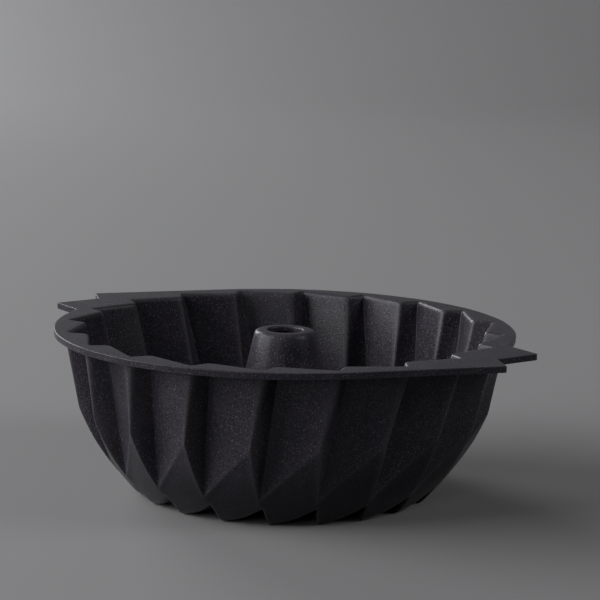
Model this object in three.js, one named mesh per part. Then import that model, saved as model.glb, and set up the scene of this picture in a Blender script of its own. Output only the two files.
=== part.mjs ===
// A heavy cast ring cake pan: twenty leaning flutes that end in kite-shaped facets, a pleated floor,
// a hollow centre tube and a flat rim with two lug handles in its plane.
// Units are millimetres and +Z is up. The origin lies on the table under the pan's axis, and +X points
// between the two teeth of the right handle.
import * as THREE from 'three';

// Overall sizes
const panHeight = 93;
const rimRadius = 130;
const rimThickness = 3.7;
const wallThickness = 3;

// Flutes: a leaning panel runs from a valley out to a corner, and a narrow flank steps back to the
// next valley
const fluteCount = 20;
const rimLedge = 4.2;
const fluteDepth = 10.8;
const flankTurn = 4.7;
const wallDraft = 13.2;
const fluteLean = 0.1;

// Kites: the facet below each panel, with its top on the corner line, a tip at each side and a foot below
const kiteTopHeight = 49.8;
const kiteTipHeight = 16.7;
const kiteEdgeBow = 3;
const footInset = 16;
const footTurn = 2.2;
const footGrind = 2;
const footSag = 3;
const footShare = 0.12;
const kiteShare = 0.3;

// Floor: ridges run in from the feet and valleys run in from between the kites, to the throat, where the
// tube's flare begins
const throatRadius = 38;
const ridgeRise = 6.5;
const ridgeTurn = 6.2;
const valleyHeight = 11;
const valleyTurn = 3.4;
const throatRound = 4.5;

// Tube: a hollow cone with a closed, rounded top and a round hole in it
const tubeDrop = 1.5;
const tubeTopRadius = 17;
const tubeDraft = 12.4;
const tubeSeat = 24;
const tubeRound = 3.2;
const tubeHoleRadius = 10;
const tubeTopThickness = 3.6;

// Handles: two saw teeth, the first one with a flank tangent to the rim. The start turn leads back from the
// way that the handle faces to its first tooth. The notch and the second tooth are counted on from the first
// tooth, and the handle's end on the rim from the second
const handleReach = 23.9;
const handleStartTurn = 9.6;
const handleNotchReach = 9.6;
const handleNotchTurn = 4.8;
const handleTipReach = 20.9;
const handleTipTurn = 15.2;
const handleEndTurn = 5.8;
const handleRound = 1.2;

// Facets along the edges of the surfaces
const panelColumns = 5;
const panelRows = 2;
const kiteRows = 5;
const sharedRows = 1;
const floorRows = 4;
const tubeSegments = 56;
const roundSteps = 4;

// Places that follow from the sizes
const pitch = 360 / fluteCount;
const wallTop = panHeight - rimThickness;
const cornerRadius = rimRadius - rimLedge;
const valleyRadius = cornerRadius - fluteDepth;
const tubeTop = panHeight - tubeDrop;
const draftSlope = Math.tan(THREE.MathUtils.degToRad(wallDraft));
const tubeSlope = Math.tan(THREE.MathUtils.degToRad(tubeDraft));
const tubeSideThickness = wallThickness / Math.cos(THREE.MathUtils.degToRad(tubeDraft));

const satinBlack = { color: 0x2b2a2e, roughness: 0.5, metalness: 0.15 };

function polar(radius, degrees, height) {
  const angle = THREE.MathUtils.degToRad(degrees);
  return new THREE.Vector3(radius * Math.cos(angle), radius * Math.sin(angle), height);
}

function tubeRadiusAt(height) {
  return tubeTopRadius + (tubeTop - height) * tubeSlope;
}

// Corner points of one flute. Angles are counted from where its corner meets the rim.
function fluteKeys(number) {
  const start = (number + 0.5) * pitch;
  const valleyAngle = start - pitch + flankTurn;
  const topDrop = wallTop - kiteTopHeight;
  const tipDrop = wallTop - kiteTipHeight;
  const tipRadius = valleyRadius - tipDrop * draftSlope;
  const tipAngle = valleyAngle - tipDrop * fluteLean;
  return {
    valley: polar(valleyRadius, valleyAngle, wallTop),
    corner: polar(cornerRadius, start, wallTop),
    kiteTop: polar(cornerRadius - topDrop * draftSlope, start - topDrop * fluteLean, kiteTopHeight),
    tip: polar(tipRadius, tipAngle, kiteTipHeight),
    foot: polar(tipRadius - footInset, tipAngle + footTurn, -footGrind),
  };
}

function between(from, to, share) {
  return from.clone().lerp(to, share);
}

// Shares of an edge at even steps
function evenly(steps) {
  return Array.from({ length: steps + 1 }, (_, i) => i / steps);
}

function straight(from, to, shares) {
  return shares.map((share) => between(from, to, share));
}

// A quadratic curve whose middle is pulled off the chord towards the given offset
function bowed(from, to, offset, shares) {
  const control = between(from, to, 0.5).add(offset);
  const curve = new THREE.QuadraticBezierCurve3(from, control, to);
  return shares.map((share) => curve.getPoint(share));
}

// A line along the floor's underside, from its outer end in to the throat and up to the tube's seat
function floorLine(outer, turn, height) {
  const outerRadius = Math.hypot(outer.x, outer.y);
  const outerAngle = THREE.MathUtils.radToDeg(Math.atan2(outer.y, outer.x));
  const seatRadius = tubeRadiusAt(tubeSeat) - tubeSideThickness;
  const line = [];
  for (let i = 0; i <= floorRows; i++) {
    const share = i / floorRows;
    const radius = THREE.MathUtils.lerp(outerRadius, throatRadius, share);
    const rise = THREE.MathUtils.lerp(outer.z, height, share * share);
    line.push(polar(radius, outerAngle + turn * share, rise));
  }
  const throatHeight = height + throatRound;
  const endAngle = outerAngle + turn;
  line.push(polar(tubeRadiusAt(throatHeight) - tubeSideThickness, endAngle, throatHeight));
  line.push(polar(seatRadius, endAngle, tubeSeat));
  return line;
}

function seatArc(from, to, shares) {
  const radius = Math.hypot(from.x, from.y);
  const start = THREE.MathUtils.radToDeg(Math.atan2(from.y, from.x));
  const sweep = THREE.MathUtils.radToDeg(from.clone().setZ(0).angleTo(to.clone().setZ(0)));
  return shares.map((share) => polar(radius, start + sweep * share, from.z));
}

// The points of a surface that fills the space between four edges, spread as they are along its top edge
function patch(top, bottom, left, right) {
  const rows = left.length - 1;
  const columns = top.length - 1;
  const width = top[0].distanceTo(top[columns]);
  const grid = [];
  for (let i = 0; i <= rows; i++) {
    const v = i / rows;
    const row = [];
    for (let j = 0; j <= columns; j++) {
      const u = top[0].distanceTo(top[j]) / width;
      const across = between(left[i], right[i], u);
      const down = between(top[j], bottom[j], v);
      const cornersAbove = between(top[0], top[columns], u);
      const cornersBelow = between(bottom[0], bottom[columns], u);
      const point = across.add(down).sub(between(cornersAbove, cornersBelow, v));
      // The feet are ground flat where they stand on the table
      point.z = Math.max(point.z, 0);
      row.push(point);
    }
    grid.push(row);
  }
  return grid;
}

// Points closer than this are one point
const samePoint = 1e-4;

// The pan's outer skin: shared points and triangles, each triangle kept with the piece that it belongs to
class Skin {
  constructor() {
    this.points = [];
    this.triangles = [];
    this.grids = [];
  }

  add(point) {
    const known = this.points.findIndex((other) => other.distanceTo(point) < samePoint);
    return known >= 0 ? known : this.points.push(point) - 1;
  }

  // Adds a surface's points and faces. Each row of faces belongs to the piece named for it.
  addGrid(grid, pieceAt) {
    const ids = grid.map((row) => row.map((point) => this.add(point)));
    for (let i = 0; i + 1 < ids.length; i++) {
      for (let j = 0; j + 1 < ids[i].length; j++) {
        this.addQuad(ids[i][j], ids[i + 1][j], ids[i + 1][j + 1], ids[i][j + 1], pieceAt(i));
      }
    }
    this.grids.push(ids);
    return ids;
  }

  addQuad(a, b, c, d, piece) {
    const [pa, pb, pc, pd] = [a, b, c, d].map((id) => this.points[id]);
    const acrossFirst = pa.distanceTo(pc) <= pb.distanceTo(pd);
    const halves = acrossFirst ? [[a, b, c], [a, c, d]] : [[a, b, d], [b, c, d]];
    for (const ids of halves) {
      if (new Set(ids).size === 3) {
        this.triangles.push({ ids, piece });
      }
    }
  }

  normal([a, b, c]) {
    const side = this.points[b].clone().sub(this.points[a]);
    return side.cross(this.points[c].clone().sub(this.points[a])).normalize();
  }

  // The inner skin: each point on an edge moves in so that every face around it moves in by the thickness,
  // and the surfaces between are filled in again. Points on the level cuts stay in their planes.
  inset(thickness, levels) {
    const sums = this.points.map(() => ({ matrix: new Array(6).fill(0), push: new THREE.Vector3() }));
    for (const { ids } of this.triangles) {
      const n = this.normal(ids);
      for (const [i, id] of ids.entries()) {
        const here = this.points[id];
        const next = this.points[ids[(i + 1) % 3]].clone().sub(here);
        const last = this.points[ids[(i + 2) % 3]].clone().sub(here);
        const weight = next.angleTo(last);
        const products = [n.x * n.x, n.x * n.y, n.x * n.z, n.y * n.y, n.y * n.z, n.z * n.z];
        products.forEach((value, place) => {
          sums[id].matrix[place] += weight * value;
        });
        sums[id].push.addScaledVector(n, -thickness * weight);
      }
    }
    const damping = 0.02;
    const levelHold = 1e5;
    const moved = this.points.map((point, id) => {
      const [xx, xy, xz, yy, yz, zz] = sums[id].matrix;
      const hold = levels.some((level) => Math.abs(point.z - level) < samePoint) ? levelHold : 0;
      const system = new THREE.Matrix3().set(
        xx + damping, xy, xz,
        xy, yy + damping, yz,
        xz, yz, zz + damping + hold,
      );
      const inner = sums[id].push.clone().applyMatrix3(system.invert()).add(point);
      if (hold > 0) {
        inner.z = point.z;
      }
      return inner;
    });
    for (const ids of this.grids) {
      const edge = (list) => list.map((id) => moved[id]);
      const left = ids.map((row) => row[0]);
      const right = ids.map((row) => row.at(-1));
      const filled = patch(edge(ids[0]), edge(ids.at(-1)), edge(left), edge(right));
      ids.forEach((row, i) => row.forEach((id, j) => moved[id].copy(filled[i][j])));
    }
    return moved;
  }
}

function geometryFrom(points, triangles) {
  const used = [...new Set(triangles.flat())];
  const place = new Map(used.map((id, i) => [id, i]));
  const geometry = new THREE.BufferGeometry();
  const positions = used.flatMap((id) => points[id].toArray());
  geometry.setAttribute('position', new THREE.Float32BufferAttribute(positions, 3));
  geometry.setIndex(triangles.flat().map((id) => place.get(id)));
  geometry.computeVertexNormals();
  return geometry;
}

// Builds the outer skin and notes the loops of points at the rim
function panSkin() {
  const skin = new Skin();
  const rimLoop = [];
  const nextLoop = [];
  const pastFoot = evenly(panelColumns - 1).map((share) => THREE.MathUtils.lerp(footShare, 1, share));
  const panelShares = [0, ...pastFoot];
  const panelRowShares = evenly(panelRows);
  const flankShares = evenly(kiteRows - sharedRows);
  const wallPiece = () => 'wall';
  const kitePiece = () => 'kite';
  const floorPiece = (row) => (row < floorRows ? 'floor' : 'flare');
  const keys = Array.from({ length: fluteCount + 1 }, (_, k) => fluteKeys(k));
  const edges = keys.map((key, k) => {
    const last = fluteKeys(k - 1);
    const outward = key.kiteTop.clone().setZ(0).normalize().multiplyScalar(kiteEdgeBow);
    const share = between(key.tip, key.foot, kiteShare);
    return {
      lastFlank: bowed(last.kiteTop, key.tip, outward.setZ(-kiteEdgeBow), flankShares),
      shared: straight(key.tip, share, evenly(sharedRows)),
      step: straight(share, key.foot, flankShares),
      ridge: floorLine(key.foot, ridgeTurn, ridgeRise),
      valley: floorLine(share, valleyTurn, valleyHeight),
    };
  });
  for (let k = 0; k < fluteCount; k++) {
    const here = keys[k];
    const next = keys[k + 1];
    const near = edges[k];
    const far = edges[k + 1];
    const crease = straight(here.tip, here.kiteTop, panelShares);
    const leftOfKite = near.shared.concat(near.step.slice(1));
    const rightOfKite = far.lastFlank.concat(far.shared.slice(1));
    const sag = new THREE.Vector3(0, 0, -footSag);
    const lowerEdge = bowed(here.foot, far.valley[0], sag, panelShares);
    const panelTop = straight(here.valley, here.corner, panelShares);
    const flankTop = straight(here.corner, next.valley, flankShares);
    const cornerLine = straight(here.corner, here.kiteTop, panelRowShares);
    const valleyLine = straight(here.valley, here.tip, panelRowShares);
    const nextValleyLine = straight(next.valley, next.tip, panelRowShares);
    const underKite = seatArc(near.ridge.at(-1), far.valley.at(-1), panelShares);
    const underStep = seatArc(far.valley.at(-1), far.ridge.at(-1), flankShares);
    const panel = patch(panelTop, crease, valleyLine, cornerLine);
    const panelIds = skin.addGrid(panel, wallPiece);
    const flank = patch(flankTop, far.lastFlank, cornerLine, nextValleyLine);
    const flankIds = skin.addGrid(flank, wallPiece);
    skin.addGrid(patch(crease, lowerEdge, leftOfKite, rightOfKite), kitePiece);
    skin.addGrid(patch(lowerEdge, underKite, near.ridge, far.valley), floorPiece);
    skin.addGrid(patch(far.step, underStep, far.valley, far.ridge), floorPiece);
    rimLoop.push(...panelIds[0].slice(0, -1), ...flankIds[0].slice(0, -1));
    nextLoop.push(...panelIds[1].slice(0, -1), ...flankIds[1].slice(0, -1));
  }
  return { skin, rimLoop, nextLoop };
}

// One piece of the shell: its outer and inner faces, and the cut faces along its open edges
function shellGeometry(skin, inner, piece) {
  const count = skin.points.length;
  const triangles = [];
  const openEdges = new Map();
  for (const { ids } of skin.triangles.filter((triangle) => triangle.piece === piece)) {
    const [a, b, c] = ids;
    triangles.push([a, b, c], [c + count, b + count, a + count]);
    for (const [from, to] of [[a, b], [b, c], [c, a]]) {
      if (!openEdges.delete(`${to} ${from}`)) {
        openEdges.set(`${from} ${to}`, [from, to]);
      }
    }
  }
  for (const [from, to] of openEdges.values()) {
    // Both pieces along a cut split its faces by the same diagonal
    if (to < from) {
      triangles.push([to, from, from + count], [to, from + count, to + count]);
    } else {
      triangles.push([to, from, to + count], [from, from + count, to + count]);
    }
  }
  return geometryFrom(skin.points.concat(inner), triangles);
}

// The flat rim: its inner side carries the flutes' inner faces on up to its top
function rimSections(inner, rimLoop, nextLoop) {
  return rimLoop.map((id, i) => {
    const low = inner[id];
    const below = inner[nextLoop[i]];
    const rise = low.clone().sub(below);
    const angle = THREE.MathUtils.radToDeg(Math.atan2(low.y, low.x));
    const high = low.clone().addScaledVector(rise, rimThickness / rise.z).setZ(panHeight);
    return [polar(rimRadius, angle, wallTop), polar(rimRadius, angle, panHeight), high, low];
  });
}

function rimGeometry(sections) {
  const points = sections.flat();
  const size = sections[0].length;
  const triangles = [];
  for (let i = 0; i < sections.length; i++) {
    const here = i * size;
    const next = ((i + 1) % sections.length) * size;
    for (let j = 0; j < size; j++) {
      const k = (j + 1) % size;
      triangles.push([here + j, next + j, next + k], [here + j, next + k, here + k]);
    }
  }
  return geometryFrom(points, triangles);
}

// An outline corner with a round of the given radius
function roundedCorner(before, corner, after, radius) {
  const toBefore = before.clone().sub(corner).normalize();
  const toAfter = after.clone().sub(corner).normalize();
  const half = toBefore.angleTo(toAfter) / 2;
  const reach = radius / Math.tan(half);
  const inward = toBefore.clone().add(toAfter).normalize();
  const centre = corner.clone().addScaledVector(inward, radius / Math.sin(half));
  const start = corner.clone().addScaledVector(toBefore, reach).sub(centre);
  const end = corner.clone().addScaledVector(toAfter, reach).sub(centre);
  const sweep = Math.atan2(start.cross(end), start.dot(end));
  const origin = new THREE.Vector2();
  return Array.from({ length: roundSteps + 1 }, (_, i) => {
    return start.clone().rotateAround(origin, (sweep * i) / roundSteps).add(centre);
  });
}

function flat(radius, degrees) {
  const point = polar(radius, degrees, 0);
  return new THREE.Vector2(point.x, point.y);
}

// A lug handle: two teeth outside the rim's edge, which its inner side follows facet by facet
function handleGeometry(sections, facing) {
  const firstRadius = rimRadius + handleReach;
  const firstAngle = facing - handleStartTurn;
  const tipAngle = firstAngle + handleTipTurn;
  const tangentAngle = firstAngle - THREE.MathUtils.radToDeg(Math.acos(rimRadius / firstRadius));
  const first = flat(firstRadius, firstAngle);
  const notch = flat(rimRadius + handleNotchReach, firstAngle + handleNotchTurn);
  const tip = flat(rimRadius + handleTipReach, tipAngle);
  const turnFromFacing = (point) => {
    const angle = THREE.MathUtils.radToDeg(Math.atan2(point.y, point.x)) - facing;
    return THREE.MathUtils.euclideanModulo(angle + 180, 360) - 180;
  };
  const rimPoints = sections
    .map(([outer]) => new THREE.Vector2(outer.x, outer.y))
    .filter((point) => turnFromFacing(point) >= tangentAngle - facing)
    .filter((point) => turnFromFacing(point) <= tipAngle + handleEndTurn - facing)
    .sort((one, other) => turnFromFacing(other) - turnFromFacing(one));
  const outline = [
    rimPoints.at(-1),
    ...roundedCorner(rimPoints.at(-1), first, notch, handleRound),
    notch,
    ...roundedCorner(notch, tip, rimPoints[0], handleRound),
    ...rimPoints.slice(0, -1),
  ];
  const shape = new THREE.Shape(outline);
  return new THREE.ExtrudeGeometry(shape, { depth: rimThickness, bevelEnabled: false });
}

// The centre tube as a revolved profile, up its outer side, over the rounded top and down inside
function tubeGeometry() {
  const seatRadius = tubeRadiusAt(tubeSeat);
  const corner = new THREE.Vector2(tubeTopRadius, tubeTop);
  const seat = new THREE.Vector2(seatRadius, tubeSeat);
  const hole = new THREE.Vector2(tubeHoleRadius, tubeTop);
  const ceiling = tubeTop - tubeTopThickness;
  const profile = [
    seat,
    ...roundedCorner(seat, corner, hole, tubeRound),
    hole,
    new THREE.Vector2(tubeHoleRadius, ceiling),
    new THREE.Vector2(tubeRadiusAt(ceiling) - tubeSideThickness, ceiling),
    new THREE.Vector2(seatRadius - tubeSideThickness, tubeSeat),
    seat.clone(),
  ];
  return new THREE.LatheGeometry(profile, tubeSegments).rotateX(Math.PI / 2);
}

function addPiece(group, name, geometry, height = 0) {
  const mesh = new THREE.Mesh(geometry, new THREE.MeshStandardMaterial(satinBlack));
  mesh.name = name;
  mesh.position.z = height;
  group.add(mesh);
}

const pan = new THREE.Group();
const { skin, rimLoop, nextLoop } = panSkin();
const inner = skin.inset(wallThickness, [wallTop, tubeSeat]);
const sections = rimSections(inner, rimLoop, nextLoop);
addPiece(pan, 'fluted_wall', shellGeometry(skin, inner, 'wall'));
addPiece(pan, 'kite_band', shellGeometry(skin, inner, 'kite'));
addPiece(pan, 'pleated_floor', shellGeometry(skin, inner, 'floor'));
addPiece(pan, 'tube_flare', shellGeometry(skin, inner, 'flare'));
addPiece(pan, 'centre_tube', tubeGeometry());
addPiece(pan, 'rim_flange', rimGeometry(sections));
addPiece(pan, 'right_handle', handleGeometry(sections, 0), wallTop);
addPiece(pan, 'left_handle', handleGeometry(sections, 180), wallTop);

export default pan;
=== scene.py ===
"""Looks of a heavy cast ring cake pan: rounded castings, a speckled coating, a studio floor and a camera."""
import math
from collections import namedtuple

import bmesh
import bpy
import numpy as np
from bpy.props import FloatProperty, FloatVectorProperty, IntProperty, PointerProperty
from mathutils import Matrix, Vector


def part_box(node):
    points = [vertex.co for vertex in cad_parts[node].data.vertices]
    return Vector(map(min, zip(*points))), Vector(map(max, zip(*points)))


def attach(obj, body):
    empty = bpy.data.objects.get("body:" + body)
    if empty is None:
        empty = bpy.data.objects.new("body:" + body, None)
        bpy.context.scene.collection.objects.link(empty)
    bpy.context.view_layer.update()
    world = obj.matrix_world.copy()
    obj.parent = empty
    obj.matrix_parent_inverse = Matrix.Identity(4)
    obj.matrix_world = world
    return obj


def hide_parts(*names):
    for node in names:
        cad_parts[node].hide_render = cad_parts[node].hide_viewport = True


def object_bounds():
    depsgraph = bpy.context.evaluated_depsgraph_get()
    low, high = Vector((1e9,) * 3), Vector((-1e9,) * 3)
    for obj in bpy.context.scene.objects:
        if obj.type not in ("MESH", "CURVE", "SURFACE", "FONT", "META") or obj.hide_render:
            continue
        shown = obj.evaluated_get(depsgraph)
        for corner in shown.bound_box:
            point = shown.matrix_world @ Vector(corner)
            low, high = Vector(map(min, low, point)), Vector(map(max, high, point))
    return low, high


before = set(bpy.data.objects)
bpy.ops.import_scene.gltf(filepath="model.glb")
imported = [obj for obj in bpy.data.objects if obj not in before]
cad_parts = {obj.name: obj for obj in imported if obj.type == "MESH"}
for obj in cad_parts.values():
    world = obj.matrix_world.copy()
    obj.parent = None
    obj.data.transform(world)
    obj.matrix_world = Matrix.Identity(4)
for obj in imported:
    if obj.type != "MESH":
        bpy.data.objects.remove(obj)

bl_info = {
    "name": "Fluted Ring Cake Pan",
    "version": (1, 0, 0),
    "blender": (4, 5, 0),
    "location": "View3D > Sidebar > Cake Pan",
    "description": "Builds a cast ring cake pan with leaning flutes, kite facets and a speckled coating",
    "category": "Add Mesh",
}

MM = 0.001
CAD_LOW, CAD_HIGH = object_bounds()
RIM_LOW, RIM_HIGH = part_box("rim_flange")
TUBE_LOW, TUBE_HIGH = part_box("centre_tube")


def length(label, millimetres, note):
    """A length, given in millimetres and kept in metres"""
    return FloatProperty(
        name=label, description=note, default=millimetres * MM, min=0.0, unit="LENGTH", precision=4
    )


def angle(label, degrees, note):
    """An angle, given in degrees and kept in radians"""
    return FloatProperty(name=label, description=note, default=math.radians(degrees), subtype="ANGLE")


def metres(label, value, note):
    """A length of the studio, in metres"""
    return FloatProperty(name=label, description=note, default=value, min=0.0, unit="LENGTH")


def panel_size(label, value, note):
    """Width and height of a light, in metres"""
    return FloatVectorProperty(name=label, description=note, default=value, min=0.0, size=2, unit="LENGTH")


def power(label, watts, note):
    """The power of a light, in watts"""
    return FloatProperty(name=label, description=note, default=watts, min=0.0, unit="POWER")


def share(label, value, note):
    """A part of a whole, from 0 to 1"""
    return FloatProperty(name=label, description=note, default=value, min=0.0, max=1.0, subtype="FACTOR")


def colour(label, value, note):
    """A linear colour"""
    return FloatVectorProperty(
        name=label, description=note, default=value, min=0.0, max=1.0, size=3, subtype="COLOR"
    )


class PanSizes(bpy.types.PropertyGroup):
    """Sizes of the casting"""

    pan_height: length("Pan height", CAD_HIGH.z / MM, "From the table to the top of the rim")
    rim_radius: length("Rim radius", RIM_HIGH.y / MM, "Radius of the rim's round edge")
    rim_thickness: length("Rim thickness", (RIM_HIGH.z - RIM_LOW.z) / MM, "Thickness of the rim and handles")
    rim_stub: length("Rim stub", 5.3, "Height of the wall that is cast with the rim")
    wall_thickness: length("Wall thickness", 3.0, "Thickness of the cast wall")

    flute_count: IntProperty(name="Flutes", description="Number of flutes round the wall", default=20, min=3)
    rim_ledge: length("Rim ledge", 4.2, "How far the rim stands out past the flutes' corners")
    flute_depth: length("Flute depth", 10.8, "From a flute's corner in to its valley")
    flank_turn: angle("Flank turn", 4.7, "Angle round the axis that a flank takes at the kites")
    flank_top_turn: angle("Flank top turn", 3.0, "Angle round the axis that a flank takes at the rim")
    wall_draft: angle("Wall draft", 13.2, "Slope of the wall from the vertical")
    flute_lean: angle("Flute lean", 8.93, "Turn of the flutes from the rim down to the table")

    kite_top_height: length("Kite top", 49.8, "Height of the top of a kite facet")
    kite_tip_height: length("Kite tip", 16.7, "Height of the tips at the sides of a kite facet")
    kite_edge_bow: length("Kite edge bow", 3.0, "Bow of the edge between a flank and its kite")
    kite_share: share("Kite share", 0.3, "Part of a kite's lower side that it shares with the next kite")
    foot_inset: length("Foot inset", 16.0, "From a kite's tip in to its foot")
    foot_turn: angle("Foot turn", 2.2, "Turn from a kite's tip to its foot")
    foot_drop: length("Foot drop", 2.0, "How far a foot's sharp point would reach below the table")
    foot_sag: length("Foot sag", 3.0, "Sag of the edge under a kite")

    throat_radius: length("Throat radius", 38.0, "Radius where the floor turns up into the tube")
    throat_round: length("Throat round", 4.5, "Height of the turn from the floor to the tube")
    ridge_rise: length("Ridge rise", 6.5, "Height of the floor's ridges at the throat")
    ridge_turn: angle("Ridge turn", 6.2, "Turn of a ridge from its foot to the throat")
    fold_rise: length("Fold rise", 11.0, "Height of the floor's folds at the throat")
    fold_turn: angle("Fold turn", 3.4, "Turn of a fold from the kites to the throat")

    tube_top_radius: length("Tube top radius", 17.0, "Radius of the tube's top before its edge is rounded")
    tube_hole_radius: length("Tube hole radius", 10.0, "Radius of the hole in the tube's top")
    tube_top_thickness: length("Tube top thickness", 3.6, "Thickness of the tube's top")

    handle_reach: length("Handle reach", 23.9, "How far a handle's first tooth stands out past the rim")
    handle_notch_reach: length("Handle notch reach", 9.6, "How far the notch between the teeth stands out")
    handle_tip_reach: length("Handle tip reach", 20.9, "How far a handle's second tooth stands out")
    handle_start_turn: angle("Handle start turn", 9.6, "Turn from a handle's middle back to its first tooth")
    handle_notch_turn: angle("Handle notch turn", 4.8, "Turn from the first tooth to the notch")
    handle_tip_turn: angle("Handle tip turn", 15.2, "Turn from the first tooth to the second")
    handle_end_turn: angle("Handle end turn", 5.8, "Turn from the second tooth to the handle's end")


class PanRounds(bpy.types.PropertyGroup):
    """How far the rounds of the casting's creases reach to each side"""

    outer_corner: length("Outer corner", 6.5, "Reach of the round on a flute's corner at the rim, outside")
    kite_corner: length("Kite corner", 3.1, "Reach of the round on a flute's corner at the kites, outside")
    outer_valley: length("Outer valley", 1.4, "Reach of the fillet in a flute's valley, outside")
    inner_corner: length("Inner corner", 1.6, "Reach of the fillet behind a flute's corner, inside")
    inner_valley: length("Inner valley", 6.0, "Reach of the round on the ridge behind a valley, inside")
    inner_flank: length("Inner flank", 2.8, "Reach of that round on the side of the flank, inside")
    kite_edge: length("Kite edge", 1.5, "Reach of the round on the edges of a kite")
    floor_edge: length("Floor edge", 3.6, "Reach of the round where a kite turns into the floor")
    rim_lip: length("Rim lip", 3.2, "Reach of the round on the rim's inner edge")
    rim_under: length("Rim underside", 1.3, "Reach of the fillet under the rim")
    plate_edge: length("Plate edge", 0.9, "Reach of the round on the edges of the rim and handles")
    handle_tooth: length("Handle tooth", 1.9, "Reach of the round on a handle's teeth")
    tube_top: length("Tube top", 4.6, "Reach of the round on the tube's top edge")
    tube_hole: length("Tube hole", 1.4, "Reach of the round on the hole's edges")


class CoatingLook(bpy.types.PropertyGroup):
    """Colours and grain of the coating"""

    base: colour("Base", (0.0415, 0.0367, 0.0486), "Colour of the coating between its flecks")
    # The next colour and share paint a highlight: a lighter tone along the casting's outward edges
    edge_highlight: colour("Worn edge", (0.1, 0.095, 0.105), "Colour of the coating where it is worn thin")
    edge_highlight_share: share("Wear", 0.6, "How far the coating is worn on the casting's outward edges")
    fleck: colour("Fleck", (0.32, 0.32, 0.33), "Colour of the bright flecks")
    fleck_spacing: length("Fleck spacing", 0.85, "Usual distance between flecks")
    pebble_size: length("Pebble size", 0.9, "Size of the coating's fine pebbling")
    pebble_depth: length("Pebble depth", 0.2, "Depth of the pebbling")
    pebble_strength: share("Pebble strength", 0.5, "How clearly the pebbling shows")
    roughness: share("Roughness", 0.32, "Mean roughness of the satin surface")
    roughness_spread: share("Roughness spread", 0.06, "How far the roughness goes up and down")
    specular: share("Specular", 0.22, "Level of the coating's mirror reflection")


class StageLook(bpy.types.PropertyGroup):
    """Floor, light and camera"""

    floor: colour("Floor", (0.39, 0.39, 0.4), "Colour of the studio floor and backdrop")
    floor_bounce: colour("Floor bounce", (0.06, 0.06, 0.065), "Colour of the floor for bounced light")
    floor_reach: metres("Floor reach", 8.0, "How far the floor goes to the front and to each side")
    sweep_start: metres("Sweep start", 2.6, "From the pan back to where the floor turns up")
    sweep_radius: metres("Sweep radius", 1.4, "Radius of the turn from the floor to the wall")
    wall_height: metres("Wall height", 3.0, "Height of the wall above the turn")

    lamp_distance: metres("Lamp distance", 4.0, "From the pan to each light")
    key_power: power("Key power", 148.0, "Power of the large light")
    key_size: panel_size("Key size", (4.4, 2.8), "Size of the large light")
    key_turn: angle("Key turn", -85.0, "Direction of the large light, round from the camera")
    key_rise: angle("Key rise", 23.0, "Height of the large light")
    fill_power: power("Fill power", 5.5, "Power of the low light")
    fill_size: panel_size("Fill size", (0.7, 0.7), "Size of the low light")
    fill_turn: angle("Fill turn", -26.0, "Direction of the low light, round from the camera")
    fill_rise: angle("Fill rise", 16.0, "Height of the low light")
    back_power: power("Back power", 44.0, "Power of the light behind")
    back_size: panel_size("Back size", (1.6, 1.6), "Size of the light behind")
    back_turn: angle("Back turn", -148.0, "Direction of the light behind, round from the camera")
    back_rise: angle("Back rise", 19.0, "Height of the light behind")
    side_power: power("Side power", 24.0, "Power of the light at the right")
    side_size: panel_size("Side size", (1.6, 1.6), "Size of the light at the right")
    side_turn: angle("Side turn", 75.0, "Direction of the light at the right, round from the camera")
    side_rise: angle("Side rise", 32.0, "Height of the light at the right")
    world_level: share("World level", 0.02, "Level of the even light from all round")
    world_colour: colour("World colour", (0.95, 0.96, 1.0), "Colour of the even light from all round")

    camera_turn: angle("Camera turn", -58.54, "Direction of the camera round the pan's axis")
    camera_rise: angle("Camera rise", 10.47, "Height of the camera above the level of the rim")
    camera_roll: angle("Camera roll", 1.12, "Tilt of the picture")
    camera_distance: metres("Camera distance", 1.253, "From the rim's middle to the camera")
    camera_lens: FloatProperty(name="Lens", description="Focal length in millimetres", default=133.09)
    aim_right: length("Aim right", 8.13, "How far right of the rim's middle the camera points")
    aim_up: length("Aim up", 15.23, "How far above the rim's middle the camera points")


def polar(radius, turn, height=0.0):
    """A point from its radius, its angle round the axis and its height"""
    return Vector((radius * math.cos(turn), radius * math.sin(turn), height))


def turned(point, turn):
    """A point turned round the pan's axis"""
    return Matrix.Rotation(turn, 3, "Z") @ point


def towards(start, end, distance):
    """The point at a distance from start on the way to end"""
    return start + (end - start).normalized() * distance


def on_table(point):
    """A point of the casting, ground off where it would reach below the table"""
    return Vector((point.x, point.y, max(point.z, 0.0)))


def at_height(low, high, height):
    """The point of a straight line that lies at a height"""
    return low.lerp(high, (height - low.z) / (high.z - low.z))


def edge_shares(size, near, far):
    """Places along an edge: its ends, the reach of the round at each end, and the middle between them"""
    first = near / size
    last = 1.0 - far / size
    return (0.0, first, (first + last) / 2, last, 1.0)


def edge(start, end, near, far, bow=Vector((0.0, 0.0, 0.0))):
    """Points of an edge, straight or bowed towards an offset"""
    control = start.lerp(end, 0.5) + bow
    places = edge_shares((end - start).length, near, far)
    return [start.lerp(control, s).lerp(control.lerp(end, s), s) for s in places]


def shares_along(points):
    """How far along a row of points each one lies, from 0 to 1"""
    steps = [(b - a).length for a, b in zip(points, points[1:])]
    total = sum(steps)
    return [sum(steps[:i]) / total for i in range(len(points))]


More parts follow.
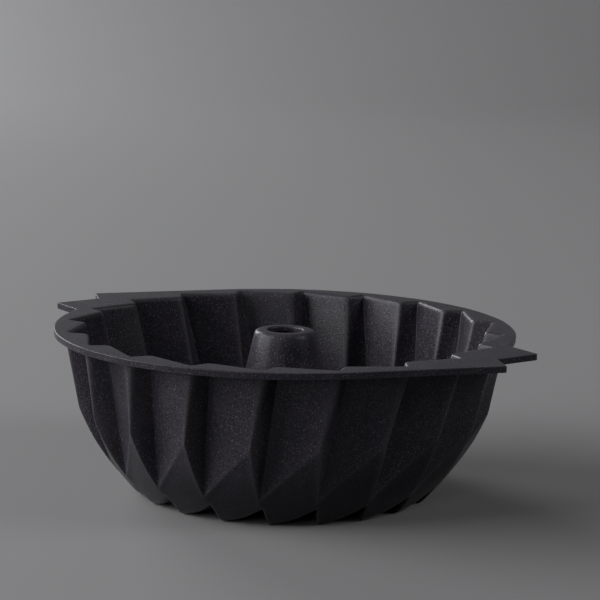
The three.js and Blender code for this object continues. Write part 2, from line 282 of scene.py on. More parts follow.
def surface(top, bottom, left, right):
    """Rows of points that fill the space between four edges"""
    along_top, along_bottom = shares_along(top), shares_along(bottom)
    down_left, down_right = shares_along(left), shares_along(right)
    rows = []
    for i, (start, end) in enumerate(zip(left, right)):
        row_place = i / (len(left) - 1)
        row = []
        for j, (above, below) in enumerate(zip(top, bottom)):
            column_place = j / (len(top) - 1)
            across = along_top[j] + (along_bottom[j] - along_top[j]) * row_place
            down = down_left[i] + (down_right[i] - down_left[i]) * column_place
            corners_above = top[0].lerp(top[-1], across)
            corners_below = bottom[0].lerp(bottom[-1], across)
            point = start.lerp(end, across) + above.lerp(below, down)
            point -= corners_above.lerp(corners_below, down)
            row.append(on_table(point))
        rows.append(row)
    return rows


# Places along a line of the floor, from the kites in to the throat, and the one where the pieces are cut
FLOOR_PLACES = (0.0, 0.09, 0.3, 0.55, 0.8, 1.0)
FLOOR_CUT_ROW = 1
# Places along the arc of a pleat at the tube's seat
SEAT_PLACES = (0.0, 0.15, 0.5, 0.85, 1.0)
# Keeps a point of the inner skin in its place along facets that lie in one plane
INNER_DAMPING = 0.02

# Reach of the rounds on one skin: at a flute's corner, at a kite's top, in a valley and on its flank
Reach = namedtuple("Reach", "corner kite valley flank")


class PanShape:
    """The casting's key points and surfaces, worked out from the sizes"""

    def __init__(self, sizes, rounds):
        self.sizes = sizes
        self.rounds = rounds
        self.pitch = math.tau / sizes.flute_count
        self.wall_top = sizes.pan_height - sizes.rim_thickness
        self.wall_cut = self.wall_top - sizes.rim_stub
        self.seat_height = TUBE_LOW.z
        self.tube_top = TUBE_HIGH.z
        self.seat_radius = TUBE_HIGH.x
        self.tube_slope = (self.seat_radius - sizes.tube_top_radius) / (self.tube_top - self.seat_height)
        self.tube_side = sizes.wall_thickness * math.hypot(1.0, self.tube_slope)
        self.outer = self.outer_keys()
        self.inner = self.inner_keys()
        self.outer_reach = Reach(
            rounds.outer_corner, rounds.kite_corner, rounds.outer_valley, rounds.outer_valley
        )
        self.inner_reach = Reach(
            rounds.inner_corner, rounds.inner_corner, rounds.inner_valley, rounds.inner_flank
        )

    def tube_radius(self, height):
        """Outer radius of the tube at a height"""
        return self.sizes.tube_top_radius + (self.tube_top - height) * self.tube_slope

    def floor_line(self, outer, turn, rise):
        """A line of the underside, from its outer end in to the throat and up to the tube's seat"""
        sizes = self.sizes
        outer_radius = math.hypot(outer.x, outer.y)
        outer_turn = math.atan2(outer.y, outer.x)
        line = []
        for place in FLOOR_PLACES:
            radius = outer_radius + (sizes.throat_radius - outer_radius) * place
            height = outer.z + (rise - outer.z) * place * place
            line.append(polar(radius, outer_turn + turn * place, height))
        for height in (rise + sizes.throat_round, self.seat_height):
            line.append(polar(self.tube_radius(height) - self.tube_side, outer_turn + turn, height))
        return line

    def flute_keys(self, number):
        """Key points of one flute on the outer skin, by name"""
        sizes = self.sizes
        corner_turn = (number + 0.5) * self.pitch
        previous_turn = corner_turn - self.pitch
        valley_turn = previous_turn + sizes.flank_turn
        corner_radius = sizes.rim_radius - sizes.rim_ledge
        valley_radius = corner_radius - sizes.flute_depth

        def on_wall(radius, turn, height, inset=0.0, extra_turn=0.0, drop=0.0):
            fall = self.wall_top - height
            lean = sizes.flute_lean * fall / self.wall_top
            wall_radius = radius - fall * math.tan(sizes.wall_draft)
            return polar(wall_radius - inset, turn - lean + extra_turn, height - drop)

        tip_height = sizes.kite_tip_height
        tip = on_wall(valley_radius, valley_turn, tip_height)
        foot_fall = tip_height + sizes.foot_drop
        foot = on_wall(valley_radius, valley_turn, tip_height, sizes.foot_inset, sizes.foot_turn, foot_fall)
        keys = {
            "valley": on_wall(valley_radius, previous_turn + sizes.flank_top_turn, self.wall_top),
            "corner": on_wall(corner_radius, corner_turn, self.wall_top),
            "kite_top": on_wall(corner_radius, corner_turn, sizes.kite_top_height),
            "tip": tip,
        }
        fold = tip.lerp(foot, sizes.kite_share)
        for i, point in enumerate(self.floor_line(foot, sizes.ridge_turn, sizes.ridge_rise)):
            keys[f"ridge_{i}"] = point
        for i, point in enumerate(self.floor_line(fold, sizes.fold_turn, sizes.fold_rise)):
            keys[f"fold_{i}"] = point
        return keys

    def outer_keys(self):
        keys = {}
        for number in (-1, 0, 1):
            for name, point in self.flute_keys(number).items():
                keys[name, number] = point
        return keys

    def facets(self):
        """Loops of key points round the facets of two neighbouring flutes"""
        rows = len(FLOOR_PLACES) + 1
        for here in (-1, 0):
            after = here + 1
            yield ("valley", here), ("tip", here), ("kite_top", here), ("corner", here)
            yield ("corner", here), ("kite_top", here), ("tip", after), ("valley", after)
            yield (
                ("tip", here), ("fold_0", here), ("ridge_0", here),
                ("fold_0", after), ("tip", after), ("kite_top", here),
            )
            for i in range(rows):
                near, far = f"ridge_{i}", f"ridge_{i + 1}"
                fold_near, fold_far = f"fold_{i}", f"fold_{i + 1}"
                yield (near, here), (far, here), (fold_far, after), (fold_near, after)
                yield (fold_near, after), (fold_far, after), (far, after), (near, after)

    def inner_keys(self):
        """Key points of the inner skin: every facet round a point moves in by the wall's thickness"""
        thickness = self.sizes.wall_thickness
        damping = INNER_DAMPING * np.eye(3)
        ground = {key: on_table(point) for key, point in self.outer.items()}
        systems = {}
        pushes = {}
        for loop in self.facets():
            for place, key in enumerate(loop):
                here = ground[key]
                forward = ground[loop[(place + 1) % len(loop)]] - here
                back = ground[loop[place - 1]] - here
                normal = np.array(forward.cross(back).normalized())
                weight = forward.angle(back)
                systems[key] = systems.get(key, damping) + weight * np.outer(normal, normal)
                pushes[key] = pushes.get(key, np.zeros(3)) - thickness * weight * normal
        keys = {}
        last_row = len(FLOOR_PLACES) + 1
        for (name, number), point in ground.items():
            if number != 0:
                continue
            moved = point + Vector(np.linalg.solve(systems[name, number], pushes[name, number]))
            if name.endswith(f"_{last_row}"):
                moved = polar(self.seat_radius, math.atan2(point.y, point.x), self.seat_height)
            keys[name, 0] = moved
            keys[name, 1] = turned(moved, self.pitch)
        return keys

    def wall_row(self, keys, height, reach):
        """Points of a flute's panel and flank at one height"""
        valley = at_height(keys["tip", 0], keys["valley", 0], height)
        corner = at_height(keys["kite_top", 0], keys["corner", 0], height)
        next_valley = at_height(keys["tip", 1], keys["valley", 1], height)
        panel = edge(valley, corner, reach.valley, reach.corner)
        flank = edge(corner, next_valley, reach.corner, reach.flank)
        return panel, flank

    def flute(self, keys, reach):
        """Surfaces of one flute on one skin, as rows of points"""
        sizes, rounds = self.sizes, self.rounds
        kite_round = rounds.kite_edge
        rows = len(FLOOR_PLACES) + 2
        tip, kite_top = keys["tip", 0], keys["kite_top", 0]
        next_tip = keys["tip", 1]
        panel_top, flank_top = self.wall_row(keys, self.wall_cut, reach)
        outward = Vector((kite_top.x, kite_top.y, 0.0)).normalized() * sizes.kite_edge_bow
        bow = outward - Vector((0.0, 0.0, sizes.kite_edge_bow))
        sag = Vector((0.0, 0.0, -sizes.foot_sag))

        crease = edge(tip, kite_top, kite_round, reach.kite)
        flank_foot = edge(kite_top, next_tip, reach.kite, kite_round, bow)
        ridge = [keys[f"ridge_{i}", 0] for i in range(rows)]
        next_ridge = [keys[f"ridge_{i}", 1] for i in range(rows)]
        next_fold = [keys[f"fold_{i}", 1] for i in range(rows)]
        fold_start = keys["fold_0", 0]
        shared = [tip, tip.lerp(fold_start, 0.5), fold_start]
        next_shared = [next_tip, next_tip.lerp(next_fold[0], 0.5), next_fold[0]]
        step = edge(fold_start, ridge[0], kite_round, rounds.floor_edge)
        next_step = edge(next_fold[0], next_ridge[0], kite_round, rounds.floor_edge)
        under_kite = edge(ridge[0], next_fold[0], kite_round, kite_round, sag)
        valley_line = [panel_top[0], towards(tip, panel_top[0], kite_round), tip]
        next_valley_line = [flank_top[-1], towards(next_tip, flank_top[-1], kite_round), next_tip]
        corner_line = [panel_top[-1], towards(kite_top, panel_top[-1], kite_round), kite_top]
        return {
            "panel": surface(panel_top, crease, valley_line, corner_line),
            "flank": surface(flank_top, flank_foot, corner_line, next_valley_line),
            "kite": surface(crease, under_kite, shared + step[1:], flank_foot + next_shared[1:]),
            "pleat": surface(under_kite, self.seat_arc(ridge[-1], next_fold[-1]), ridge, next_fold),
            "step": surface(next_step, self.seat_arc(next_fold[-1], next_ridge[-1]), next_fold, next_ridge),
        }

    def seat_arc(self, start, end):
        """Points of the seat's circle between two of its points"""
        first = math.atan2(start.y, start.x)
        sweep = start.xy.angle(end.xy)
        radius = math.hypot(start.x, start.y)
        return [polar(radius, first + sweep * place, start.z) for place in SEAT_PLACES]

    def both_skins(self):
        """Surfaces of one flute, outside and inside"""
        outside = self.flute(self.outer, self.outer_reach)
        inside = self.flute(self.inner, self.inner_reach)
        return outside, inside

    def ring(self, panel_and_flank):
        """A row of one flute's points carried on all the way round"""
        panel, flank = panel_and_flank
        once = panel[:-1] + flank[:-1]
        turns = [self.pitch * number for number in range(self.sizes.flute_count)]
        return [turned(point, turn) for turn in turns for point in once]


def lay(bm, rows, cut=False):
    """Adds a grid of faces on rows of points. The faces of a cut are marked."""
    made = bmesh.ops.create_grid(bm, x_segments=len(rows[0]) - 1, y_segments=len(rows) - 1, size=1.0)
    points = [point for row in rows for point in row]
    for vert, point in zip(made["verts"], points):
        vert.co = point
    mark = bm.faces.layers.int.get("cut") or bm.faces.layers.int.new("cut")
    for face in {face for vert in made["verts"] for face in vert.link_faces}:
        face[mark] = int(cut)


def repeat_round(bm, count):
    """Repeats everything round the pan's axis"""
    bmesh.ops.spin(
        bm, geom=bm.verts[:] + bm.edges[:] + bm.faces[:], cent=(0, 0, 0), axis=(0, 0, 1),
        angle=math.tau * (count - 1) / count, steps=count - 1, use_duplicate=True,
    )


# Points nearer than this, in metres, are one point
SAME_PLACE = 1e-6
# Steps of the modifier that rounds the castings
ROUNDING_LEVELS = 2
# Layer of the outward edges that get a painted highlight, and the outward turn of an edge that gets the full
# highlight
HIGHLIGHT_LAYER = "painted_highlight"
HIGHLIGHT_TURN = math.radians(50.0)


def mark_highlight_edges(bm, mark):
    """Marks the points on outward edges, where a highlight is painted into the coating's colour. The edges
    of cuts are left out.
    """
    bm.normal_update()
    painted_highlight = bm.verts.layers.float.new(HIGHLIGHT_LAYER)
    for line in bm.edges:
        if any(face[mark] for face in line.link_faces):
            continue
        edge_highlight_share = min(line.calc_face_angle_signed(0.0) / HIGHLIGHT_TURN, 1.0)
        for vert in line.verts:
            vert[painted_highlight] = max(vert[painted_highlight], edge_highlight_share)


def finish_casting(bm, name, nodes, coating):
    """Closes a casting's seams, keeps the edges of its cuts sharp and puts it in the place of its nodes"""
    bmesh.ops.remove_doubles(bm, verts=bm.verts[:], dist=SAME_PLACE)
    bmesh.ops.recalc_face_normals(bm, faces=bm.faces[:])
    mark = bm.faces.layers.int["cut"]
    crease = bm.edges.layers.float.new("crease_edge")
    for line in bm.edges:
        if len({face[mark] for face in line.link_faces}) == 2:
            line[crease] = 1.0
            line.smooth = False
    for face in bm.faces:
        face.smooth = True
    # Marks the outward edges that get a painted highlight
    mark_highlight_edges(bm, mark)
    bm.faces.layers.int.remove(mark)
    mesh = bpy.data.meshes.new(name)
    bm.to_mesh(mesh)
    bm.free()
    piece = bpy.data.objects.new(name, mesh)
    bpy.context.scene.collection.objects.link(piece)
    mesh.materials.append(coating)
    rounding = piece.modifiers.new("rounding", "SUBSURF")
    rounding.levels = ROUNDING_LEVELS
    rounding.render_levels = ROUNDING_LEVELS
    shading = piece.modifiers.new("shading", "WEIGHTED_NORMAL")
    shading.keep_sharp = True
    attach(piece, "root")
    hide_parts(*nodes)
    return piece


# Values of a noise texture that are carried over to the whole of another span
NOISE_SPAN = (0.3, 0.7)
# Distance from a cell's middle, in cells, over which a fleck fades out
FLECK_FADE = (0.18, 0.36)
# A cell's own chance value, from where it holds a fleck to where that is brightest
FLECK_CHANCE = (0.55, 1.0)
# Upward part of a face's normal, from the downward kites, which get painted shade with fewer flecks and less
# grain, to the panels, which get none
SHADE_SLOPE = (-0.5, -0.34)
LIT_SHARE_SPAN = (0.25, 1.0)
# Lightness of the coating in its broad clouds, in its grain, and on downward faces, where it is darkened as
# painted shade
CLOUD_SCALE = 55.0
CLOUD_DETAIL = 3.0
CLOUD_TONE = (0.82, 1.18)
GRAIN_DETAIL = 2.0
GRAIN_TONE = (0.5, 1.5)
SHADED_TONE = 0.5
# Value of the highlight layer, from where the painted highlight starts to where it is full
HIGHLIGHT_SPAN = (0.25, 1.0)


def ranged(tree, value, span, result=(0.0, 1.0)):
    """Carries a value's span over to another one"""
    node = tree.nodes.new("ShaderNodeMapRange")
    node.inputs["From Min"].default_value = span[0]
    node.inputs["From Max"].default_value = span[1]
    node.inputs["To Min"].default_value = result[0]
    node.inputs["To Max"].default_value = result[1]
    tree.links.new(value, node.inputs["Value"])
    return node.outputs["Result"]


def combined(tree, operation, first, second):
    """Combines two values by an operation of the Math node"""
    node = tree.nodes.new("ShaderNodeMath")
    node.operation = operation
    tree.links.new(first, node.inputs[0])
    tree.links.new(second, node.inputs[1])
    return node.outputs["Value"]


def scaled(tree, tint, level):
    """A colour, made lighter or darker by a value"""
    node = tree.nodes.new("ShaderNodeVectorMath")
    node.operation = "SCALE"
    node.inputs[0].default_value = tint
    tree.links.new(level, node.inputs["Scale"])
    return node.outputs["Vector"]


def covered(tree, amount, under, tint):
    """A colour that is covered by another one, by an amount"""
    node = tree.nodes.new("ShaderNodeMix")
    node.data_type = "RGBA"
    tree.links.new(amount, node.inputs["Factor"])
    tree.links.new(under, node.inputs["A"])
    node.inputs["B"].default_value = (*tint, 1.0)
    return node.outputs["Result"]


def noise(tree, place, scale, detail):
    """A noise texture in the piece's own frame"""
    node = tree.nodes.new("ShaderNodeTexNoise")
    node.inputs["Scale"].default_value = scale
    node.inputs["Detail"].default_value = detail
    tree.links.new(place, node.inputs["Vector"])
    return node.outputs["Fac"]


def painted_light_share(tree):
    """How much of the flecks, grain and full lightness a face gets by how it points: the downward kites and
    underside are darkened and smoothed, a painted shade
    """
    facing = tree.nodes.new("ShaderNodeNewGeometry")
    parts = tree.nodes.new("ShaderNodeSeparateXYZ")
    tree.links.new(facing.outputs["Normal"], parts.inputs["Vector"])
    return ranged(tree, parts.outputs["Z"], SHADE_SLOPE, LIT_SHARE_SPAN)


def fleck_amount(tree, place, spacing):
    """Small dots, one in the middle of some of the cells"""
    cells = tree.nodes.new("ShaderNodeTexVoronoi")
    cells.inputs["Scale"].default_value = 1.0 / spacing
    tree.links.new(place, cells.inputs["Vector"])
    dots = ranged(tree, cells.outputs["Distance"], FLECK_FADE, (1.0, 0.0))
    chance = tree.nodes.new("ShaderNodeSeparateColor")
    tree.links.new(cells.outputs["Color"], chance.inputs["Color"])
    shine = ranged(tree, chance.outputs["Red"], FLECK_CHANCE)
    return combined(tree, "MULTIPLY", dots, shine)


def edge_highlight_amount(tree, most):
    """A painted highlight on the outward edges, from the casting's own layer"""
    edges = tree.nodes.new("ShaderNodeAttribute")
    edges.attribute_name = HIGHLIGHT_LAYER
    return ranged(tree, edges.outputs["Fac"], HIGHLIGHT_SPAN, (0.0, most))


def speckled_coating(look):
    """Satin black coating with fine bright flecks, a soft pebbled skin, a painted highlight on its outward
    edges and painted shade on its downward faces
    """
    name = "speckled_coating"
    if name in bpy.data.materials:
        return bpy.data.materials[name]
    material = bpy.data.materials.new(name)
    material.use_nodes = True
    tree = material.node_tree
    shader = tree.nodes["Principled BSDF"]
    shader.inputs["Specular IOR Level"].default_value = look.specular
    place = tree.nodes.new("ShaderNodeTexCoord").outputs["Object"]

    # Downward faces lose flecks and grain and get darker: painted shade
    lit_share = painted_light_share(tree)
    flecks = combined(tree, "MULTIPLY", fleck_amount(tree, place, look.fleck_spacing), lit_share)
    clouds = ranged(tree, noise(tree, place, CLOUD_SCALE, CLOUD_DETAIL), NOISE_SPAN, CLOUD_TONE)
    pebbles = noise(tree, place, 1.0 / look.pebble_size, GRAIN_DETAIL)
    grain = ranged(tree, pebbles, NOISE_SPAN, GRAIN_TONE)
    # Downward faces get a fixed half lightness in place of grain: painted shade
    mottle = tree.nodes.new("ShaderNodeMix")
    tree.links.new(lit_share, mottle.inputs["Factor"])
    mottle.inputs["A"].default_value = SHADED_TONE
    tree.links.new(grain, mottle.inputs["B"])
    base = scaled(tree, look.base, combined(tree, "MULTIPLY", clouds, mottle.outputs["Result"]))
    # Outward edges are lighter: a painted highlight
    painted_highlight = covered(tree, edge_highlight_amount(tree, look.edge_highlight_share), base, look.edge_highlight)
    tree.links.new(covered(tree, flecks, painted_highlight, look.fleck), shader.inputs["Base Color"])

    roughness_span = (look.roughness - look.roughness_spread, look.roughness + look.roughness_spread)
    tree.links.new(ranged(tree, pebbles, NOISE_SPAN, roughness_span), shader.inputs["Roughness"])
    relief = tree.nodes.new("ShaderNodeBump")
    relief.inputs["Strength"].default_value = look.pebble_strength
    relief.inputs["Distance"].default_value = look.pebble_depth
    tree.links.new(pebbles, relief.inputs["Height"])
    tree.links.new(relief.outputs["Normal"], shader.inputs["Normal"])
    return material


def pan_shape(context):
    """The casting's shape at the sizes that the scene holds"""
    return PanShape(context.scene.pan_sizes, context.scene.pan_rounds)


class CAKEPAN_OT_fluted_wall(bpy.types.Operator):
    """Casts the leaning flutes and the kite facets below them"""

    bl_idname = "cakepan.fluted_wall"
    bl_label = "Fluted Wall"

    def execute(self, context):
        shape = pan_shape(context)
        outside, inside = shape.both_skins()
        bm = bmesh.new()
        for skin in (outside, inside):
            for name in ("panel", "flank", "kite"):
                lay(bm, skin[name])
            for name in ("pleat", "step"):
                lay(bm, skin[name][:FLOOR_CUT_ROW + 1])
        for name in ("panel", "flank"):
            lay(bm, [outside[name][0], inside[name][0]], cut=True)
        for name in ("pleat", "step"):
            lay(bm, [outside[name][FLOOR_CUT_ROW], inside[name][FLOOR_CUT_ROW]], cut=True)
        repeat_round(bm, shape.sizes.flute_count)
        coating = speckled_coating(context.scene.coating_look)
        finish_casting(bm, "flutes_and_kites", ("fluted_wall", "kite_band"), coating)
        return {"FINISHED"}


class CAKEPAN_OT_pleated_floor(bpy.types.Operator):
    """Casts the pleated floor and the flare that carries the tube"""

    bl_idname = "cakepan.pleated_floor"
    bl_label = "Pleated Floor"

    def execute(self, context):
        shape = pan_shape(context)
        outside, inside = shape.both_skins()
        bm = bmesh.new()
        for name in ("pleat", "step"):
            for skin in (outside, inside):
                lay(bm, skin[name][FLOOR_CUT_ROW:])
            for row in (FLOOR_CUT_ROW, -1):
                lay(bm, [outside[name][row], inside[name][row]], cut=True)
        repeat_round(bm, shape.sizes.flute_count)
        coating = speckled_coating(context.scene.coating_look)
        finish_casting(bm, "pleats_and_flare", ("pleated_floor", "tube_flare"), coating)
        return {"FINISHED"}


# Faces round the tube before it is rounded
TUBE_STEPS = 96


class CAKEPAN_OT_centre_tube(bpy.types.Operator):
    """Casts the hollow cone in the middle, with its rounded top and hole"""

    bl_idname = "cakepan.centre_tube"
    bl_label = "Centre Tube"

    def execute(self, context):
        shape = pan_shape(context)
        sizes, rounds = shape.sizes, shape.rounds
        top = shape.tube_top
        ceiling = top - sizes.tube_top_thickness
        hole = sizes.tube_hole_radius
        soft = rounds.tube_hole
        seat = Vector((shape.seat_radius, 0.0, shape.seat_height))
        seat_inside = Vector((shape.seat_radius - shape.tube_side, 0.0, shape.seat_height))
        shoulder = Vector((sizes.tube_top_radius, 0.0, top))
        lip = Vector((hole, 0.0, top))
        lip_below = Vector((hole, 0.0, ceiling))
        vault = Vector((shape.tube_radius(ceiling) - shape.tube_side, 0.0, ceiling))
        profile = [
            seat,
            towards(shoulder, seat, rounds.tube_top),
            shoulder,
            towards(shoulder, lip, rounds.tube_top),
            towards(lip, shoulder, soft),
            lip,
            lip.lerp(lip_below, 0.5),
            lip_below,
            lip_below.lerp(vault, 0.5),
            vault,
            towards(vault, seat_inside, soft),
            seat_inside,
        ]
        bm = bmesh.new()
        mark = bm.faces.layers.int.new("cut")
        verts = [bm.verts.new(point) for point in profile]
        lines = [bm.edges.new(pair) for pair in zip(verts, verts[1:] + verts[:1])]
        bmesh.ops.spin(
            bm, geom=verts + lines, cent=(0, 0, 0), axis=(0, 0, 1),
            angle=math.tau, steps=TUBE_STEPS, use_merge=True,
        )
        for face in bm.faces:
            on_seat = [abs(vert.co.z - shape.seat_height) < SAME_PLACE for vert in face.verts]
            face[mark] = int(all(on_seat))
        coating = speckled_coating(context.scene.coating_look)
        finish_casting(bm, "tube_with_hole", ("centre_tube",), coating)
        return {"FINISHED"}


class CAKEPAN_OT_rim_plate(bpy.types.Operator):
    """Casts the flat rim with the two toothed handles in its plane"""

    bl_idname = "cakepan.rim_plate"
    bl_label = "Rim and Handles"

    def execute(self, context):
        shape = pan_shape(context)
        sizes, rounds = shape.sizes, shape.rounds
        low, high = shape.wall_top, sizes.pan_height

        def outer_wall(height):
            return shape.ring(shape.wall_row(shape.outer, height, shape.outer_reach))

        def inner_wall(height):
            return shape.ring(shape.wall_row(shape.inner, height, shape.inner_reach))

        def lifted(ring, height):
            return [Vector((point.x, point.y, height)) for point in ring]

        under = outer_wall(low)
        lip = inner_wall(high)
        outline = self.outline(shape, under)
        inset = self.inset(outline, rounds.plate_edge)
        fillet = [towards(a, b, rounds.rim_under) for a, b in zip(under, lifted(outline, low))]
        lip_round = [towards(a, b, rounds.rim_lip) for a, b in zip(lip, lifted(inset, high))]
        rows = [
            outer_wall(shape.wall_cut),
            outer_wall(low - rounds.rim_under),
            under,
            fillet,
            lifted(inset, low),
            lifted(outline, low),
            lifted(outline, low + rounds.plate_edge),
            lifted(outline, high - rounds.plate_edge),
            lifted(outline, high),
            lifted(inset, high),
            lip_round,
            lip,
            inner_wall(high - rounds.rim_lip),
            inner_wall(shape.wall_cut),
        ]
        closed = [row + row[:1] for row in rows]
        bm = bmesh.new()
        lay(bm, closed)
        lay(bm, [closed[-1], closed[0]], cut=True)
        coating = speckled_coating(context.scene.coating_look)
        finish_casting(bm, "rim_with_handles", ("rim_flange", "right_handle", "left_handle"), coating)
        return {"FINISHED"}

    def outline(self, shape, under):
        """The outer edge of the rim and handles, one point for each point of the wall below"""
        sizes = shape.sizes
        columns = len(under) // sizes.flute_count
        radius = sizes.rim_radius
        ring = [polar(radius, math.atan2(point.y, point.x)) for point in under]
        first_turn = -sizes.handle_start_turn
        start_turn = first_turn - math.acos(radius / (radius + sizes.handle_reach))
        tooth = self.tooth_points(shape)
        for half in (0, 1):
            facing = math.pi * half
            for i, point in enumerate(ring):
                local = turned(point, -facing)
                turn = math.atan2(local.y, local.x)
                if start_turn < turn < first_turn:
                    ring[i] = polar(radius / math.cos(turn - start_turn), turn + facing)
            first_column = len(ring) * half // 2 - columns + columns // 2 - 1
            for i, point in enumerate(tooth):
                ring[(first_column + i) % len(ring)] = turned(point, facing)
        return ring

    def tooth_points(self, shape):
        """Points round a handle's two teeth, with the reach of the round at each corner"""
        sizes, reach = shape.sizes, shape.rounds.handle_tooth
        radius = sizes.rim_radius
        first_turn = -sizes.handle_start_turn
        tip_turn = first_turn + sizes.handle_tip_turn
        end_turn = tip_turn + sizes.handle_end_turn
        start = polar(radius, first_turn - math.acos(radius / (radius + sizes.handle_reach)))
        first = polar(radius + sizes.handle_reach, first_turn)
        notch = polar(radius + sizes.handle_notch_reach, first_turn + sizes.handle_notch_turn)
        tip = polar(radius + sizes.handle_tip_reach, tip_turn)
        end = polar(radius, end_turn)
        points = [towards(first, start, reach)]
        for a, b in ((first, notch), (notch, tip), (tip, end)):
            points += [a, towards(a, b, reach), a.lerp(b, 0.5), towards(b, a, reach)]
        return points + [end, polar(radius, end_turn + reach / radius)]

    def inset(self, ring, distance):
        """A closed outline moved inwards by a distance"""
        moved = []
        for i, here in enumerate(ring):
            before = (here - ring[i - 1]).normalized()
            after = (ring[(i + 1) % len(ring)] - here).normalized()
            inward_before = Vector((-before.y, before.x, 0.0))
            inward_after = Vector((-after.y, after.x, 0.0))
            spread = 1.0 + inward_before.dot(inward_after)
            moved.append(here + (inward_before + inward_after) * distance / spread)
        return moved


# Mottling of the floor: its scale and detail, how far it goes, and how matt the floor is
FLOOR_NOISE_SCALE = 3.0
FLOOR_NOISE_DETAIL = 2.0
FLOOR_TONE = (0.99, 1.01)
FLOOR_ROUGHNESS = 0.85
# Faces along the turn from the floor to the wall
SWEEP_STEPS = 24
# Width of the camera's sensor in millimetres, and how far it sees in metres
SENSOR_WIDTH = 36.0
SIGHT = 50.0


def floor_material(look):
    """A matt studio surface with a faint mottling, which throws little light back"""
    material = bpy.data.materials.new("studio_floor")
    material.use_nodes = True
    tree = material.node_tree
    shader = tree.nodes["Principled BSDF"]
    shader.inputs["Roughness"].default_value = FLOOR_ROUGHNESS
    place = tree.nodes.new("ShaderNodeTexCoord").outputs["Object"]
    mottle = noise(tree, place, FLOOR_NOISE_SCALE, FLOOR_NOISE_DETAIL)
    tone = scaled(tree, look.floor, ranged(tree, mottle, (0.0, 1.0), FLOOR_TONE))
    path = tree.nodes.new("ShaderNodeLightPath")
    direct = path.outputs["Is Camera Ray"]
    for kind in ("Is Glossy Ray", "Is Transmission Ray"):
        direct = combined(tree, "MAXIMUM", direct, path.outputs[kind])
    seen = tree.nodes.new("ShaderNodeMix")
    seen.data_type = "RGBA"
    tree.links.new(direct, seen.inputs["Factor"])
    seen.inputs["A"].default_value = (*look.floor_bounce, 1.0)
    tree.links.new(tone, seen.inputs["B"])
    tree.links.new(seen.outputs["Result"], shader.inputs["Base Color"])
    return material


def of_kind(parts, kind):
    """The parts of a mesh that are of one kind"""
    return [part for part in parts if isinstance(part, kind)]


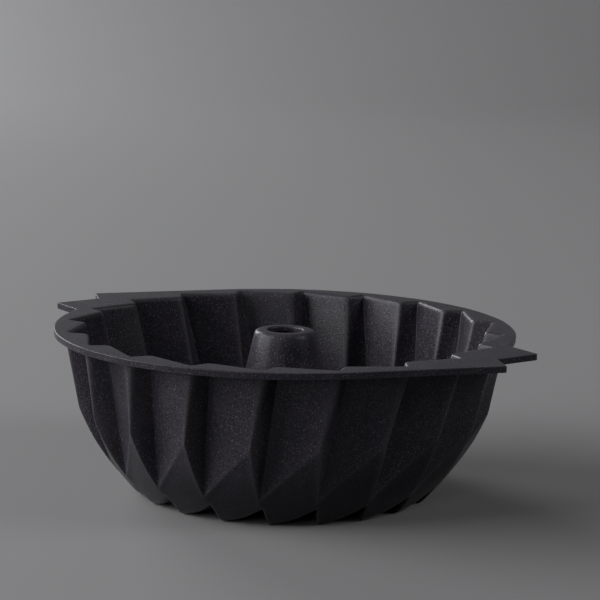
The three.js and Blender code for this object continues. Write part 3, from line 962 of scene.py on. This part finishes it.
class CAKEPAN_OT_stage(bpy.types.Operator):
    """Sets up the floor, the soft studio light and the camera"""

    bl_idname = "cakepan.stage"
    bl_label = "Stage"

    def execute(self, context):
        scene = context.scene
        look = scene.stage_look
        scene.view_settings.view_transform = "Standard"
        back = polar(1.0, look.camera_turn)
        right = Vector((-back.y, back.x, 0.0))
        self.backdrop(scene, look, back, right)

        world = scene.world or bpy.data.worlds.new("studio")
        scene.world = world
        world.use_nodes = True
        background = world.node_tree.nodes["Background"]
        background.inputs["Color"].default_value = (*look.world_colour, 1.0)
        background.inputs["Strength"].default_value = look.world_level

        middle = Vector((0.0, 0.0, scene.pan_sizes.pan_height / 2))
        for name, turn, rise, size, watts in (
            ("key_light", look.key_turn, look.key_rise, look.key_size, look.key_power),
            ("fill_light", look.fill_turn, look.fill_rise, look.fill_size, look.fill_power),
            ("back_light", look.back_turn, look.back_rise, look.back_size, look.back_power),
            ("side_light", look.side_turn, look.side_rise, look.side_size, look.side_power),
        ):
            level = right * math.sin(turn) + back * math.cos(turn)
            offset = level * math.cos(rise) + Vector((0.0, 0.0, math.sin(rise)))
            self.lamp(name, middle, offset * look.lamp_distance, size, watts)
        self.camera(scene, look, back, right)
        return {"FINISHED"}

    def backdrop(self, scene, look, back, right):
        """A floor that sweeps up into a wall behind the pan"""
        up = Vector((0.0, 0.0, 1.0))
        front = back * look.floor_reach
        side = right * look.floor_reach
        bm = bmesh.new()
        line = bm.edges.new([bm.verts.new(front - side), bm.verts.new(front + side)])
        made = bmesh.ops.extrude_edge_only(bm, edges=[line])["geom"]
        depth = look.floor_reach + look.sweep_start
        bmesh.ops.translate(bm, vec=back * -depth, verts=of_kind(made, bmesh.types.BMVert))
        made = bmesh.ops.spin(
            bm, geom=of_kind(made, (bmesh.types.BMVert, bmesh.types.BMEdge)),
            cent=back * -look.sweep_start + up * look.sweep_radius,
            axis=right, angle=math.pi / 2, steps=SWEEP_STEPS,
        )["geom_last"]
        made = bmesh.ops.extrude_edge_only(bm, edges=of_kind(made, bmesh.types.BMEdge))["geom"]
        bmesh.ops.translate(bm, vec=up * look.wall_height, verts=of_kind(made, bmesh.types.BMVert))
        bmesh.ops.recalc_face_normals(bm, faces=bm.faces[:])
        for face in bm.faces:
            face.smooth = True
        mesh = bpy.data.meshes.new("studio_floor")
        bm.to_mesh(mesh)
        bm.free()
        floor = bpy.data.objects.new("studio_floor", mesh)
        scene.collection.objects.link(floor)
        mesh.materials.append(floor_material(look))

    def lamp(self, name, target, offset, size, watts):
        """A soft rectangular light that points at a target"""
        data = bpy.data.lights.new(name, "AREA")
        data.shape = "RECTANGLE"
        data.size, data.size_y = size
        data.energy = watts
        lamp = bpy.data.objects.new(name, data)
        bpy.context.scene.collection.objects.link(lamp)
        lamp.location = target + offset
        lamp.rotation_euler = (-offset).to_track_quat("-Z", "Y").to_euler()

    def camera(self, scene, look, back, right):
        """The camera of the photograph"""
        rim_middle = Vector((0.0, 0.0, scene.pan_sizes.pan_height))
        outward = back * math.cos(look.camera_rise) + Vector((0.0, 0.0, math.sin(look.camera_rise)))
        up = outward.cross(right)
        place = rim_middle + outward * look.camera_distance
        aim = rim_middle + right * look.aim_right + up * look.aim_up
        data = bpy.data.cameras.new("camera")
        data.lens = look.camera_lens
        data.sensor_width = SENSOR_WIDTH
        data.clip_end = SIGHT
        camera = bpy.data.objects.new("camera", data)
        scene.collection.objects.link(camera)
        camera.location = place
        facing = (aim - place).to_track_quat("-Z", "Y").to_matrix()
        camera.rotation_euler = (facing @ Matrix.Rotation(look.camera_roll, 3, "Z")).to_euler()
        scene.camera = camera


class CAKEPAN_PT_sidebar(bpy.types.Panel):
    """Lists the pan's pieces and sizes"""

    bl_idname = "CAKEPAN_PT_sidebar"
    bl_label = "Cake Pan"
    bl_space_type = "VIEW_3D"
    bl_region_type = "UI"
    bl_category = "Cake Pan"

    def draw(self, context):
        layout = self.layout
        for operator in OPERATORS:
            layout.operator(operator.bl_idname)
        for name in GROUPS:
            group = getattr(context.scene, name)
            box = layout.box()
            for key in group.__annotations__:
                box.prop(group, key)


OPERATORS = (
    CAKEPAN_OT_fluted_wall,
    CAKEPAN_OT_pleated_floor,
    CAKEPAN_OT_centre_tube,
    CAKEPAN_OT_rim_plate,
    CAKEPAN_OT_stage,
)
GROUPS = {
    "pan_sizes": PanSizes,
    "pan_rounds": PanRounds,
    "coating_look": CoatingLook,
    "stage_look": StageLook,
}


def register():
    for cls in (*GROUPS.values(), *OPERATORS, CAKEPAN_PT_sidebar):
        bpy.utils.register_class(cls)
    for name, group in GROUPS.items():
        setattr(bpy.types.Scene, name, PointerProperty(type=group))


def unregister():
    for name in GROUPS:
        delattr(bpy.types.Scene, name)
    for cls in reversed((*GROUPS.values(), *OPERATORS, CAKEPAN_PT_sidebar)):
        bpy.utils.unregister_class(cls)


def main():
    register()
    bpy.ops.cakepan.fluted_wall()
    bpy.ops.cakepan.pleated_floor()
    bpy.ops.cakepan.centre_tube()
    bpy.ops.cakepan.rim_plate()
    bpy.ops.cakepan.stage()


if __name__ == "__main__":
    main()
